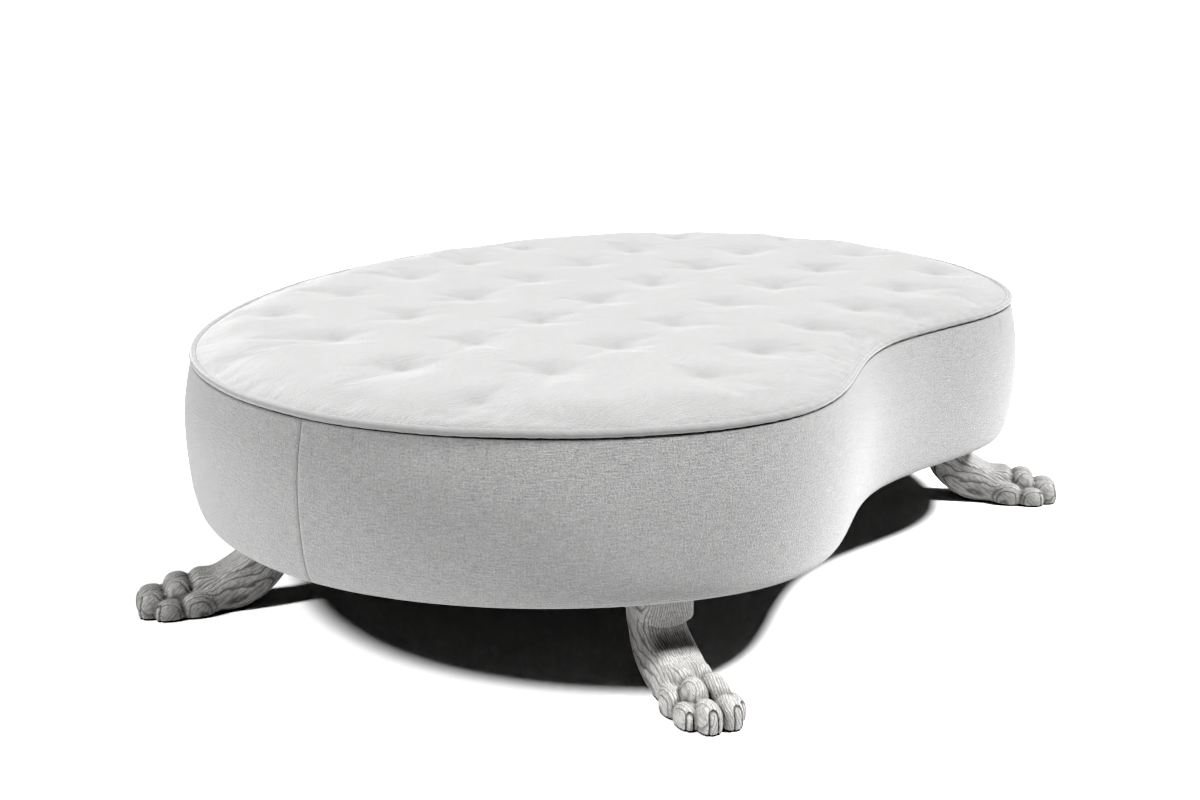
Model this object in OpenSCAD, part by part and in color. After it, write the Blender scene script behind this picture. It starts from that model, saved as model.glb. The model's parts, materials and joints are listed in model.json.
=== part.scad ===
/* [Plan] */
// Overall length of the top, measured at the piping
plan_l = 1490; // [1300:10:1700]
// Overall depth of the top, measured at the piping
plan_d = 1098; // [980:2:1240]

/* [Body] */
// Height of the upholstered body, from its underside to the top of the piping
body_h = 235; // [215:1:270]
// How far the boxing swells out past the piping
side_bulge = 17; // [8:1:24]
// Height of the widest part of the boxing above the underside
bulge_height = 125; // [100:1:140]
// How far the boxing rolls back in at the underside, from its widest part
under_roll = 22; // [12:1:24]
// Rise of the padded top above the piping
crown = 15; // [8:1:22]
// Distance from the piping over which the top rises to its crown
crown_run = 85; // [60:5:120]
// Diameter of the piping
welt_d = 11; // [9:0.5:13]
// Diameter of the cord inside the piping
cord_d = 6; // [5:0.5:6.5]
// Thickness of the cover fabric with its lining
cloth_t = 2.5; // [2:0.1:3]

/* [Tufting] */
// Distance between tufts along a row
tuft_pitch = 170; // [150:5:200]
// Distance between rows of tufts
tuft_row = 186; // [160:2:200]
// How far the tufts are pulled down
tuft_depth = 13; // [6:1:15]
// Radius over which a tuft draws the cover down
tuft_reach = 42; // [30:1:50]
// Least distance from a tuft to the piping
tuft_margin = 78; // [60:1:100]
// Place of the middle row's tuft, to the right of the middle
tuft_shift_x = 54; // [0:1:80]
// Place of the middle row's tuft, behind the middle
tuft_shift_y = 171; // [150:1:190]

/* [Padding and frame] */
// Thickness of the wadding at the edge of the top
wadding_t = 9; // [7:0.5:10]
// Thickness of the top foam
foam_t = 70; // [50:1:80]
// Thickness of the plywood deck
deck_t = 12; // [9:1:15]
// Thickness of the bendable board round the sides
skin_t = 4; // [3:0.5:5]
// Distance from the piping line in to the side board
skin_inset = 24; // [18:1:28]
// Thickness of the bottom frame
frame_t = 18; // [15:1:21]
// Width of the bottom frame
frame_w = 112; // [100:1:125]
// Side of the square uprights
post_w = 38; // [30:1:44]
// Width of the two cross rails
rail_w = 45; // [30:1:60]
// Height of the two cross rails
rail_h = 60; // [40:1:80]
// Distance from the middle to each cross rail
rail_x = 235; // [200:5:260]
// Side of the square blocks over the feet
block_w = 104; // [90:1:110]
// Thickness of the blocks over the feet
block_t = 30; // [24:1:36]
// Thickness of the dust cover
dust_t = 1; // [0.8:0.1:1.2]

/* [Feet] */
// Height of the underside above the floor
leg_h = 140; // [130:1:155]
// Depth of the leg at its top, front to back
leg_d = 80; // [70:1:90]
// Width of the leg at its top
leg_w = 81; // [70:1:90]
// Reach of the toes in front of the middle of the leg
toe_reach = 190; // [170:1:210]
// Width over the toes
paw_w = 96; // [88:1:104]
// Width of the line carved round each claw
claw_line = 1.4; // [1:0.1:2]
// Depth of the line carved round each claw
claw_depth = 1.6; // [1:0.1:2.5]
// Thickness of the felt pad under each foot
pad_t = 3; // [2:0.5:4]

/* [Fixings] */
// Diameter of the bolts that hold the feet
bolt_d = 8; // [6:0.5:10]
// Depth of the bolt in the foot
bolt_depth = 45; // [35:1:60]
// Diameter of the frame screws
screw_d = 4.2; // [3.5:0.1:5]
// Length of the frame screws
screw_l = 50; // [40:1:60]
// Diameter of the tufting twine
twine_d = 2; // [1.5:0.1:3]

/* [Hidden] */
$fn = 32;

// Clearance between pieces that touch on the real object
fit = 0.3;
// Overrun of a cut past the face that it opens
over = 1;

// Control net of the right half of the outline, waist to back, as shares of half the length and depth
outline_shares = [[0, -0.815], [0.393, -1.042], [0.67, -0.969], [0.953, -0.535],
    [1.043, 0.039], [0.842, 0.606], [0.481, 0.907], [0, 1.049]];
// Points of the outline along each stretch between two of the control net
outline_steps = 5;
// Where the two boxing panels meet at the right end, in stretches of the outline from its front waist
seam_stretch_share = 3.9;

// Leg places as shares of half the length and depth, and the direction in which the toes point
foot_shares = [[-0.664, -0.705], [0.609, -0.786], [-0.732, 0.45], [0.732, 0.45]];
foot_turns = [237, 291, 141, 39];

// Toes: each bump is the hull of a ball and the same ball a little further on, with its place and its
// three radii as shares of the toes' reach, the paw's width and the foot's height
foot_h = leg_h - pad_t;
toe_shares = [
    // middle toe: tip, knuckle and root
    [[0.861, 0.156, 0.073], [0.106, 0.167, 0.193]],
    [[0.664, 0.151, 0.168], [0.101, 0.167, 0.208]],
    [[0.482, 0.141, 0.226], [0.093, 0.151, 0.175]],
    // outer toe: tip and knuckle
    [[0.748, 0.349, 0.044], [0.101, 0.146, 0.157]],
    [[0.551, 0.349, 0.058], [0.106, 0.146, 0.186]]];
toe_run_share = 0.03;
function toe_size(s) = [s.x * toe_reach, s.y * paw_w, s.z * foot_h];
function toe_place(s, side) = toe_size([s[0].x, side * s[0].y, s[0].z]);
function toe_front(s, side, a) = let (r = toe_size(s[1]), p = toe_place(s, side))
    turn(a, [p.x + toe_run_share * toe_reach, p.y]).y - norm([r.x * sin(a), r.y * cos(a)]);

// Outline of the top, as a closed smooth curve through the pull of its control net
net_n = 2 * len(outline_shares) - 2;
function net(i) = let (k = (i + net_n) % net_n, m = len(outline_shares))
    k < m ? outline_shares[k] : [-outline_shares[net_n - k].x, outline_shares[net_n - k].y];
function blend(t) = [pow(1 - t, 3), 3 * pow(t, 3) - 6 * pow(t, 2) + 4,
    -3 * pow(t, 3) + 3 * pow(t, 2) + 3 * t + 1, pow(t, 3)] / 6;
raw = [for (i = [0 : net_n - 1], s = [0 : outline_steps - 1])
    let (w = blend(s / outline_steps))
    net(i - 1) * w[0] + net(i) * w[1] + net(i + 1) * w[2] + net(i + 2) * w[3]];
raw_x = max([for (p = raw) p.x]);
raw_y0 = min([for (p = raw) p.y]);
raw_y1 = max([for (p = raw) p.y]);
count = len(raw);
half_l = plan_l / 2;
half_d = plan_d / 2;

// Middle of the whole object, toes included, from which all places are measured
function turn(a, p) = [p.x * cos(a) - p.y * sin(a), p.x * sin(a) + p.y * cos(a)];
function foot_raw(k) = [foot_shares[k].x * half_l, foot_shares[k].y * half_d];
front_y = min([for (k = [0 : 3], s = toe_shares, side = [-1, 1])
    foot_raw(k).y + toe_front(s, side, foot_turns[k])]);
mid_y = (front_y + half_d + side_bulge) / 2;
function foot_at(k) = foot_raw(k) - [0, mid_y];
outline = [for (p = raw) [p.x / raw_x * half_l,
    ((p.y - raw_y0) / (raw_y1 - raw_y0) * 2 - 1) * half_d - mid_y]];
function unit(v) = v / norm(v);
normals = [for (i = [0 : count - 1])
    let (d = unit(outline[(i + 1) % count] - outline[(i + count - 1) % count])) [d.y, -d.x]];
function ring(d) = [for (i = [0 : count - 1]) outline[i] + normals[i] * d];

// Steps of the outline at which the boxing panels meet, at the right end and at the left end
seam_right = seam_stretch_share * outline_steps;
seam_left = count - seam_right;

// Heights of the layers
under_z = leg_h;
top_z = under_z + body_h;
welt_z = top_z - welt_d / 2;
band_z = top_z - welt_d - fit;
tuck_z = under_z + dust_t + fit;
frame_z = tuck_z + cloth_t + fit;
post_z = frame_z + frame_t + fit;
wadding_z = top_z - cloth_t - fit - wadding_t;
foam_z = wadding_z - fit - foam_t;
deck_z = foam_z - fit - deck_t;
frame_inset = skin_inset + skin_t + fit;

// Height of the padded top above the piping
function gap_to(p, i) = norm(p - outline[i]);
function edge_gap(p) = min([for (i = [0 : count - 1]) gap_to(p, i)]);
function is_inside(p) = let (g = [for (i = [0 : count - 1]) gap_to(p, i)], i = search(min(g), g)[0])
    (p - outline[i]) * normals[i] < 0;
shift_y = tuft_shift_y - mid_y;
tuft_rows = ceil(plan_d / tuft_row);
tuft_cols = ceil(plan_l / tuft_pitch);
tufts = [for (j = [-tuft_rows : tuft_rows], i = [-tuft_cols : tuft_cols])
    let (p = [tuft_shift_x + (i + (j % 2 == 0 ? 0 : 0.5)) * tuft_pitch, shift_y + j * tuft_row])
    if (abs(p.x) < half_l && is_inside(p) && edge_gap(p) > tuft_margin) p];
function pull(r) = exp(-pow(r / tuft_reach, 2));
function rise(p) = let (g = is_inside(p) ? edge_gap(p) : 0)
    crown * (1 - exp(-pow(g / crown_run, 2) * 2));
function dip(p) = tuft_depth * max([for (t = tufts) pull(norm(p - t))]);
function top_at(p) = top_z - fit + rise(p) - dip(p);

// Grid of the padded top, in step with the tufts
grid_x_steps = 3;
grid_y_steps = 3;
cell_x = tuft_pitch / grid_x_steps;
cell_y = tuft_row / grid_y_steps;
grid_i0 = floor((-half_l - tuft_shift_x - tuft_pitch / 2) / cell_x);
grid_i1 = ceil((half_l - tuft_shift_x) / cell_x);
grid_j0 = floor((-half_d - mid_y - shift_y) / cell_y) - 1;
grid_j1 = ceil((half_d - mid_y - shift_y) / cell_y) + 1;
function stagger(j) = let (m = ((j % (2 * grid_y_steps)) + 2 * grid_y_steps) % (2 * grid_y_steps))
    (grid_y_steps - abs(m - grid_y_steps)) / (2 * grid_y_steps) * tuft_pitch;
function grid_point(i, j) = [tuft_shift_x + i * cell_x + stagger(j), shift_y + j * cell_y];
grid = [for (j = [grid_j0 : grid_j1]) [for (i = [grid_i0 : grid_i1]) grid_point(i, j)]];
top_grid = [for (row = grid) [for (p = row) top_at(p)]];

// Solid between the padded top lowered by a drop and either the same surface lower down or a flat base
module quilt(drop, thickness, base) {
    rows = len(grid);
    cols = len(grid[0]);
    size = rows * cols;
    upper = [for (j = [0 : rows - 1], i = [0 : cols - 1])
        [grid[j][i].x, grid[j][i].y, top_grid[j][i] - drop]];
    lower = [for (p = upper) [p.x, p.y, is_undef(base) ? p.z - thickness : base]];
    function at(i, j) = j * cols + i;
    top_faces = [for (j = [0 : rows - 2], i = [0 : cols - 2])
        each [[at(i, j), at(i, j + 1), at(i + 1, j + 1)], [at(i, j), at(i + 1, j + 1), at(i + 1, j)]]];
    low_faces = [for (f = top_faces) [f[0] + size, f[2] + size, f[1] + size]];
    edge = concat([for (i = [0 : cols - 1]) at(i, 0)], [for (j = [1 : rows - 1]) at(cols - 1, j)],
        [for (i = [cols - 2 : -1 : 0]) at(i, rows - 1)], [for (j = [rows - 2 : -1 : 1]) at(0, j)]);
    side_faces = [for (k = [0 : len(edge) - 1]) let (a = edge[k], b = edge[(k + 1) % len(edge)])
        each [[a, b, b + size], [a, b + size, a + size]]];
    polyhedron(concat(upper, lower), concat(top_faces, low_faces, side_faces));
}

// Solid swept along the outline: each profile point is an offset from the piping line and a height
module sweep(steps, profile, closed) {
    n = len(profile);
    m = len(steps);
    points = [for (i = steps, q = profile)
        let (k = floor(i) % count, j = (k + 1) % count, t = i - floor(i),
            p = (outline[k] + normals[k] * q.x) * (1 - t) + (outline[j] + normals[j] * q.x) * t)
        [p.x, p.y, q.y]];
    walls = [for (i = [0 : m - (closed ? 1 : 2)], k = [0 : n - 1])
        let (a = i * n + k, b = i * n + (k + 1) % n, j = (i + 1) % m, c = j * n + (k + 1) % n, d = j * n + k)
        each [[a, b, c], [a, c, d]]];
    caps = closed ? [] : [[for (k = [n - 1 : -1 : 0]) k], [for (k = [0 : n - 1]) (m - 1) * n + k]];
    polyhedron(points, concat(walls, caps));
}
whole = [for (i = [0 : count - 1]) i];

// Offset of the boxing's face from the piping line at a height
function swell(z) = let (h = z - under_z, up = (top_z - z) / (body_h - bulge_height))
    h >= bulge_height ? side_bulge * sin(90 * min(1, up))
    : side_bulge - under_roll * (1 - sqrt(max(0, 1 - pow(1 - h / bulge_height, 2))));

// Plate with the plan of the top, moved in by an inset
module plate(inset, z, t) {
    translate([0, 0, z]) linear_extrude(t) polygon(ring(-inset));
}

module at_foot(k) {
    translate([foot_at(k).x, foot_at(k).y, 0]) rotate(foot_turns[k]) children();
}

module top_cover() color([0.87, 0.87, 0.87]) intersection() {
    quilt(0, cloth_t);
    plate(welt_d / 2 + fit, wadding_z, body_h);
}

module wadding() color([0.97, 0.97, 0.97]) difference() {
    intersection() {
        quilt(cloth_t + fit, 0, wadding_z);
        plate(welt_d / 2 + 2 * fit, wadding_z - over, body_h);
    }
    for (p = tufts) translate([p.x, p.y, wadding_z - over]) cylinder(d = wadding_hole, h = body_h, $fn = 4);
}
wadding_hole = 9;

// Piping: fabric folded round a cord, with its seam on the inner side
welt_turns = [for (a = [-150 : 60 : 150]) a];
welt_inner = cord_d / 2 + fit;
module welt_cover() color([0.85, 0.85, 0.85]) sweep(whole, concat(
    [for (a = welt_turns) [welt_d / 2 * cos(a), welt_z + welt_d / 2 * sin(a)]],
    [for (i = [len(welt_turns) - 1 : -1 : 0]) let (a = welt_turns[i])
        [welt_inner * cos(a), welt_z + welt_inner * sin(a)]]), true);

module welt_cord() color([0.95, 0.93, 0.88]) sweep(whole,
    [for (a = [30 : 60 : 330]) [cord_d / 2 * cos(a), welt_z + cord_d / 2 * sin(a)]], true);

// Boxing: one strip of fabric from below the piping, over the side and under the bottom frame
band_shares = [1, 0.8, 0.6, 0.4, 0.2, 0.07, 0];
tuck_w = 60;
function band_height(u) = tuck_z + u * (band_z - tuck_z);
band_profile = concat(
    [for (u = band_shares) [swell(band_height(u)), band_height(u)]],
    [[-tuck_w, tuck_z], [-tuck_w, tuck_z + cloth_t]],
    [for (i = [len(band_shares) - 1 : -1 : 0]) let (z = max(band_height(band_shares[i]), tuck_z + cloth_t))
        [swell(band_height(band_shares[i])) - cloth_t, z]]);
module band(steps) sweep(steps, band_profile, false);
function steps_between(a, b) = concat([a], [for (i = [floor(a) + 1 : ceil(b) - 1]) i], [b]);
module band_front() color([0.74, 0.74, 0.74]) band(steps_between(seam_left, seam_right + count));
module band_back() color([0.76, 0.76, 0.76]) band(steps_between(seam_right, seam_left));

module top_foam() color([0.93, 0.9, 0.72]) difference() {
    plate(skin_inset, foam_z, foam_t);
    for (p = tufts) translate([p.x, p.y, foam_z - over]) cylinder(d = foam_hole, h = foam_t + 2 * over);
}
foam_hole = 12;

module side_foam() color([0.9, 0.87, 0.7]) sweep(whole, concat(
    [for (u = band_shares) let (z = band_height(u))
        [swell(z) - cloth_t - 2 * fit, min(max(z, frame_z), wadding_z - fit)]],
    [[fit - skin_inset, frame_z], [fit - skin_inset, wadding_z - fit]]), true);

module side_board() color([0.72, 0.58, 0.4]) difference() {
    plate(skin_inset, frame_z, foam_z - fit - frame_z);
    plate(skin_inset + skin_t, frame_z - over, foam_z - frame_z + 2 * over);
}

module deck() color([0.8, 0.66, 0.46]) difference() {
    plate(frame_inset, deck_z, deck_t);
    for (p = tufts) translate([p.x, p.y, deck_z - over]) cylinder(d = deck_hole, h = deck_t + 2 * over);
    screws_down() screw_hole();
}
deck_hole = 5;

module bottom_frame() color([0.78, 0.64, 0.45]) difference() {
    plate(frame_inset, frame_z, frame_t);
    plate(frame_inset + frame_w, frame_z - over, frame_t + 2 * over);
    for (k = [0 : 3]) at_foot(k) translate([0, 0, frame_z - over])
        cylinder(d = bolt_d + 2 * fit, h = frame_t + 2 * over);
    screws_up() screw_hole();
}

// Uprights, stood on the bottom frame at shares of the way round the outline, clear of the side board
post_shares = [0, 0.09, 0.225, 0.29, 0.39, 0.5, 0.61, 0.71, 0.775, 0.91];
post_gap = 2;
post_inset = frame_inset + post_w / 2 + post_gap;
post_h = deck_z - fit - post_z;
module at_posts() for (s = post_shares) {
    i = round(s * count) % count;
    p = outline[i] - normals[i] * post_inset;
    translate([p.x, p.y, 0]) rotate(atan2(normals[i].y, normals[i].x)) children();
}
module uprights() color([0.84, 0.72, 0.52]) difference() {
    at_posts() translate([-post_w / 2, -post_w / 2, post_z]) cube([post_w, post_w, post_h]);
    screws_up() screw_hole();
    screws_down() screw_hole();
}

module cross_rail(side) color([0.84, 0.72, 0.52]) intersection() {
    translate([side * rail_x - rail_w / 2, -plan_d, post_z]) cube([rail_w, 2 * plan_d, rail_h]);
    plate(frame_inset + fit, post_z - over, rail_h + 2 * over);
}
module cross_rail_left() cross_rail(-1);
module cross_rail_right() cross_rail(1);

// Blocks that take the bolts of the feet
nut_d = 11;
nut_h = 12;
flange_d = 24;
flange_t = 1.6;
module leg_block(k) color([0.82, 0.7, 0.5]) difference() {
    intersection() {
        at_foot(k) translate([-block_w / 2, -block_w / 2, post_z]) cube([block_w, block_w, block_t]);
        plate(frame_inset + fit, post_z - over, block_t + 2 * over);
    }
    at_foot(k) translate([0, 0, post_z - over]) cylinder(d = bolt_d + 2 * fit, h = block_t + 2 * over);
    at_foot(k) translate([0, 0, post_z + block_t - nut_h]) cylinder(d = nut_d + 2 * fit, h = nut_h + over);
}
module leg_block_front_left() leg_block(0);
module leg_block_front_right() leg_block(1);
module leg_block_back_left() leg_block(2);
module leg_block_back_right() leg_block(3);

bolt_z = leg_h - bolt_depth;
bolt_top = post_z + block_t + flange_t;
module hanger_bolts() color([0.7, 0.7, 0.72]) for (k = [0 : 3]) at_foot(k)
    translate([0, 0, bolt_z + fit]) cylinder(d = bolt_d, h = bolt_top - bolt_z - fit);
module tee_nuts() color([0.75, 0.75, 0.7]) for (k = [0 : 3]) at_foot(k) difference() {
    union() {
        translate([0, 0, post_z + block_t + fit - nut_h]) cylinder(d = nut_d, h = nut_h);
        translate([0, 0, post_z + block_t + fit]) cylinder(d = flange_d, h = flange_t);
    }
    translate([0, 0, post_z]) cylinder(d = bolt_d + fit, h = block_t + flange_t + over);
}

// Wood screws with flat heads, up through the bottom frame and down through the deck
head_d = 8.4;
head_h = 2.6;
module screws_up() at_posts() translate([0, 0, frame_z]) children();
module screws_down() at_posts() translate([0, 0, deck_z + deck_t]) mirror([0, 0, 1]) children();
module screw_body(gap) {
    cylinder(d1 = head_d + gap, d2 = screw_d + gap, h = head_h);
    cylinder(d = screw_d + gap, h = screw_l + gap);
}
module screw_hole() {
    screw_body(fit);
    translate([0, 0, -over]) cylinder(d = head_d + fit, h = over);
}
module frame_screws() color([0.6, 0.6, 0.62]) {
    screws_up() screw_body(0);
    screws_down() screw_body(0);
}

washer_d = 22;
washer_t = 2;
module tuft_twines() color([0.93, 0.91, 0.85]) for (p = tufts) translate([p.x, p.y, deck_z - fit - washer_t])
    cylinder(d = twine_d, h = top_at(p) - cloth_t - 2 * fit - (deck_z - fit - washer_t), $fn = 16);
module tuft_washers() color([0.45, 0.33, 0.22]) for (p = tufts)
    translate([p.x, p.y, deck_z - fit - washer_t]) difference() {
        cylinder(d = washer_d, h = washer_t);
        translate([0, 0, -over]) cylinder(d = twine_d + 2 * fit, h = washer_t + 2 * over);
    }

dust_inset = 14;
module dust_cover() color([0.15, 0.15, 0.15]) difference() {
    plate(dust_inset, under_z, dust_t);
    for (k = [0 : 3]) at_foot(k) translate([0, 0, under_z - over])
        cylinder(d = bolt_d + 2 * fit, h = dust_t + 2 * over);
}

// Carved lion's paw. Levels of the leg and sole, bottom to top: height as a share of the foot's height,
// back as a share of the leg's depth, front as a share of the way from the leg's face to the toes' reach,
// half width as a share of the leg's width, and how much wider the front is than the back
level_shares = [
    [0, 0.29, 0.84, 0.38, 0.1], [0.04, 0.17, 0.84, 0.42, 0.07], [0.1, 0.05, 0.8, 0.44, 0.04],
    [0.18, -0.12, 0.58, 0.47, 0], [0.285, -0.29, 0.4, 0.46, -0.02], [0.38, -0.38, 0.28, 0.44, -0.03],
    [0.47, -0.43, 0.15, 0.43, -0.03], [0.555, -0.46, 0.05, 0.43, -0.03], [0.65, -0.485, -0.03, 0.43, -0.03],
    [0.745, -0.5, -0.065, 0.44, -0.03], [0.82, -0.5, -0.065, 0.46, -0.03], [0.835, -0.5, 0.005, 0.5, 0],
    [1, -0.5, 0.005, 0.5, 0]];
level_steps = 16;
// Squareness of the leg's section: its carved stretch and the square block at its top
carved_bow_share = 0.7;
block_bow_share = 0.45;
function bow(v, e) = sign(v) * pow(abs(v), e);
module leg() {
    m = len(level_shares);
    n = level_steps;
    top_i = m - 2;
    points = [for (i = [0 : m - 1], k = [0 : n - 1])
        let (s = level_shares[i], a = k / n * 360, e = i >= top_i ? block_bow_share : carved_bow_share,
            back = s[1] * leg_d, front = leg_d / 2 + s[2] * (toe_reach - leg_d / 2),
            u = bow(cos(a), e), v = bow(sin(a), e))
        [(back + front) / 2 + (front - back) / 2 * u, v * s[3] * leg_w * (1 + s[4] * u), s[0] * foot_h]];
    walls = [for (i = [0 : m - 2], k = [0 : n - 1])
        let (a = i * n + k, b = i * n + (k + 1) % n) each [[a, a + n, b + n], [a, b + n, b]]];
    caps = [[for (k = [0 : n - 1]) k], [for (k = [n - 1 : -1 : 0]) (m - 1) * n + k]];
    polyhedron(points, concat(walls, caps));
}
module bump(s, side, inset) hull() for (e = [0, toe_run_share * toe_reach])
    translate(toe_place(s, side) + [e, 0, 0]) scale(toe_size(s[1]) - [inset, inset, inset])
        rotate([90, 0, 0]) sphere(r = 1, $fn = 11);

// Claws: which toe bump, half width as a share of the paw's width, and height as a share of the foot's
claw_shares = [[0, 0.058, 0.234], [3, 0.049, 0.171]];
module claw_outline(w, h) {
    translate([0, h - w]) circle(r = w, $fn = 10);
    translate([-w, -foot_h]) square([2 * w, foot_h + h - w]);
}
module claw_groove(c, side) {
    p = toe_place(toe_shares[c[0]], side);
    w = c[1] * paw_w;
    h = c[2] * foot_h;
    difference() {
        translate([p.x, p.y, 0]) rotate([90, 0, 90]) linear_extrude(paw_w) difference() {
            claw_outline(w + claw_line / 2, h + claw_line / 2);
            claw_outline(w - claw_line / 2, h - claw_line / 2);
        }
        bump(toe_shares[c[0]], side, claw_depth);
    }
}
module toes(side) {
    for (k = [1, 2, 4]) bump(toe_shares[k], side, 0);
    for (c = claw_shares) difference() {
        bump(toe_shares[c[0]], side, 0);
        claw_groove(c, side);
    }
}
module paw() difference() {
    union() {
        leg();
        for (side = [-1, 1]) toes(side);
    }
    translate([-toe_reach, -paw_w, -foot_h]) cube([3 * toe_reach, 2 * paw_w, foot_h]);
    translate([0, 0, foot_h - bolt_depth]) cylinder(d = bolt_d + 2 * fit, h = bolt_depth + over);
}
module foot(k) color([0.62, 0.6, 0.57]) at_foot(k) translate([0, 0, pad_t]) paw();
module foot_front_left() foot(0);
module foot_front_right() foot(1);
module foot_back_left() foot(2);
module foot_back_right() foot(3);

// Felt pad under the sole, set in from the sole's edge: back and front as shares of the toes' reach,
// half width as a share of the paw's width, and how much wider it is at the toes
pad_shares = [0.17, 0.86, 0.33, 0.2];
module felt(k) color([0.12, 0.12, 0.12]) at_foot(k) linear_extrude(pad_t) polygon(
    [for (a = [0 : 15 : 345]) let (u = bow(cos(a), carved_bow_share), v = bow(sin(a), carved_bow_share))
        [((pad_shares[0] + pad_shares[1]) + (pad_shares[1] - pad_shares[0]) * u) / 2 * toe_reach,
        v * pad_shares[2] * paw_w * (1 + pad_shares[3] * u)]]);
module felt_front_left() felt(0);
module felt_front_right() felt(1);
module felt_back_left() felt(2);
module felt_back_right() felt(3);

top_cover();
welt_cover();
welt_cord();
band_front();
band_back();
wadding();
top_foam();
side_foam();
side_board();
deck();
uprights();
cross_rail_left();
cross_rail_right();
bottom_frame();
leg_block_front_left();
leg_block_front_right();
leg_block_back_left();
leg_block_back_right();
hanger_bolts();
tee_nuts();
frame_screws();
tuft_twines();
tuft_washers();
dust_cover();
foot_front_left();
foot_front_right();
foot_back_left();
foot_back_right();
felt_front_left();
felt_front_right();
felt_back_left();
felt_back_right();
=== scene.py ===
import json
import math

import bpy
import numpy as np
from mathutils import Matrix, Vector, geometry


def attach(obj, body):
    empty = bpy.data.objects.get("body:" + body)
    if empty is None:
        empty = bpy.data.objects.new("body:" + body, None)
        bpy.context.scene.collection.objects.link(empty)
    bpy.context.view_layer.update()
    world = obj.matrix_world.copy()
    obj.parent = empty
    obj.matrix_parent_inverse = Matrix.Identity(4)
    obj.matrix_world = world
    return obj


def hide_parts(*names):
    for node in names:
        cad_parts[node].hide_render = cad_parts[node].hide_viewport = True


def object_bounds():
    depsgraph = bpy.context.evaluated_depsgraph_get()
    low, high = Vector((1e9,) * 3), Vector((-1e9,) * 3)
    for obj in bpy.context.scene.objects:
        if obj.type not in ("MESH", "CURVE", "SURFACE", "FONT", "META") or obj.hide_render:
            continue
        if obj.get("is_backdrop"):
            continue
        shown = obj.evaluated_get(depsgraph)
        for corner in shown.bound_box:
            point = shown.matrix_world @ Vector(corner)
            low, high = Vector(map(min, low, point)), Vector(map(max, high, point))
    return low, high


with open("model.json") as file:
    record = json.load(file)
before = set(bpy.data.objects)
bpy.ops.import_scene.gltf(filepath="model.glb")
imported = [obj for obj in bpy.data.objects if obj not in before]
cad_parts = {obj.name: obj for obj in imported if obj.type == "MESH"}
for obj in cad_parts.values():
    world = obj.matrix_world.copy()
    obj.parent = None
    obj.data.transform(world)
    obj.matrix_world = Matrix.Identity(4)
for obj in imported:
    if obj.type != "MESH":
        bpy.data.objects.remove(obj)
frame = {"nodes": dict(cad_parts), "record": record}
cadBox = [list(corner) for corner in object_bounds()]
scene = bpy.context.scene
print("frame loaded", len(frame["nodes"]), "nodes")


# ---- camera and light
cameraSet = {
    "place": (-2.3883, -1.4284, 0.9654),
    "look": (0.85401, 0.52026),          # direction in plan
    "pitch": 15.015,                     # degrees below the horizon
    "focal": 1765.7, "wide": 1200,       # pixels
    "sensor": 36,                        # mm
    "farthest": 200,
}


def makeCamera():
    data = bpy.data.cameras.new("camera")
    data.sensor_width = cameraSet["sensor"]
    data.lens = cameraSet["focal"] * cameraSet["sensor"] / cameraSet["wide"]
    data.clip_end = cameraSet["farthest"]
    camera = bpy.data.objects.new("camera", data)
    scene.collection.objects.link(camera)
    camera.location = cameraSet["place"]
    pitch = math.radians(cameraSet["pitch"])
    x, y = cameraSet["look"]
    look = Vector((x * math.cos(pitch), y * math.cos(pitch), -math.sin(pitch)))
    camera.rotation_euler = look.to_track_quat("-Z", "Y").to_euler()
    scene.camera = camera


makeCamera()

lightSet = {                             # bearing and height in degrees, strength, softness in degrees
    "left": (149, 45, 6.5, 10),
    "right": (-68, 56, 13.4, 10),
}
studioSet = {
    "world": 0.004,                      # what the room gives back
    "printCurve": ((0.03, 0.010), (0.10, 0.085), (0.25, 0.25)),    # deep shadows print a little deeper
    "floor": (0.69, 0.71), "floorReach": 90,
}


def makeLight():
    for name, (bearing, height, strength, softness) in lightSet.items():
        sun = bpy.data.lights.new(name, "SUN")
        sun.energy = strength
        sun.angle = math.radians(softness)
        lamp = bpy.data.objects.new(name, sun)
        lamp.rotation_euler = (math.radians(90 - height), 0, math.radians(bearing + 90))
        scene.collection.objects.link(lamp)
    scene.world = bpy.data.worlds.new("studio")
    scene.world.use_nodes = True
    room = scene.world.node_tree.nodes["Background"].inputs
    room["Color"].default_value = (1, 1, 1, 1)
    room["Strength"].default_value = studioSet["world"]
    scene.view_settings.view_transform = "Standard"
    scene.view_settings.use_curve_mapping = True
    film = scene.view_settings.curve_mapping
    for dim, printed in studioSet["printCurve"]:
        film.curves[3].points.new(dim, printed)
    film.update()


makeLight()
print("camera and light made")


# ---- small tools for materials
def addNode(tree, kind, sockets=None, **settings):
    node = tree.nodes.new(kind)
    for key, value in settings.items():
        setattr(node, key, value)
    for key, value in (sockets or {}).items():
        if isinstance(value, bpy.types.NodeSocket):
            tree.links.new(value, node.inputs[key])
        else:
            node.inputs[key].default_value = value
    return node


def calc(tree, operation, a, b=0.0, clamp=False):
    return addNode(tree, "ShaderNodeMath", {0: a, 1: b}, operation=operation, use_clamp=clamp).outputs[0]


def plus(tree, a, b):
    return calc(tree, "ADD", a, b)


def less(tree, a, b):
    return calc(tree, "SUBTRACT", a, b)


def times(tree, a, b):
    return calc(tree, "MULTIPLY", a, b)


def noise(tree, place, scale, detail=3.0, roughness=0.5):
    return addNode(tree, "ShaderNodeTexNoise", {"Vector": place, "Scale": scale, "Detail": detail,
                                                "Roughness": roughness}).outputs[0]


def fibres(tree, place, scales, detail, roughness, turn=0.0):
    # noise drawn out into threads: so many to the metre along each direction
    drawn = addNode(tree, "ShaderNodeMapping", {"Vector": place, "Scale": scales, "Rotation": (0, 0, turn)})
    return noise(tree, drawn.outputs[0], 1.0, detail, roughness)


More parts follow.
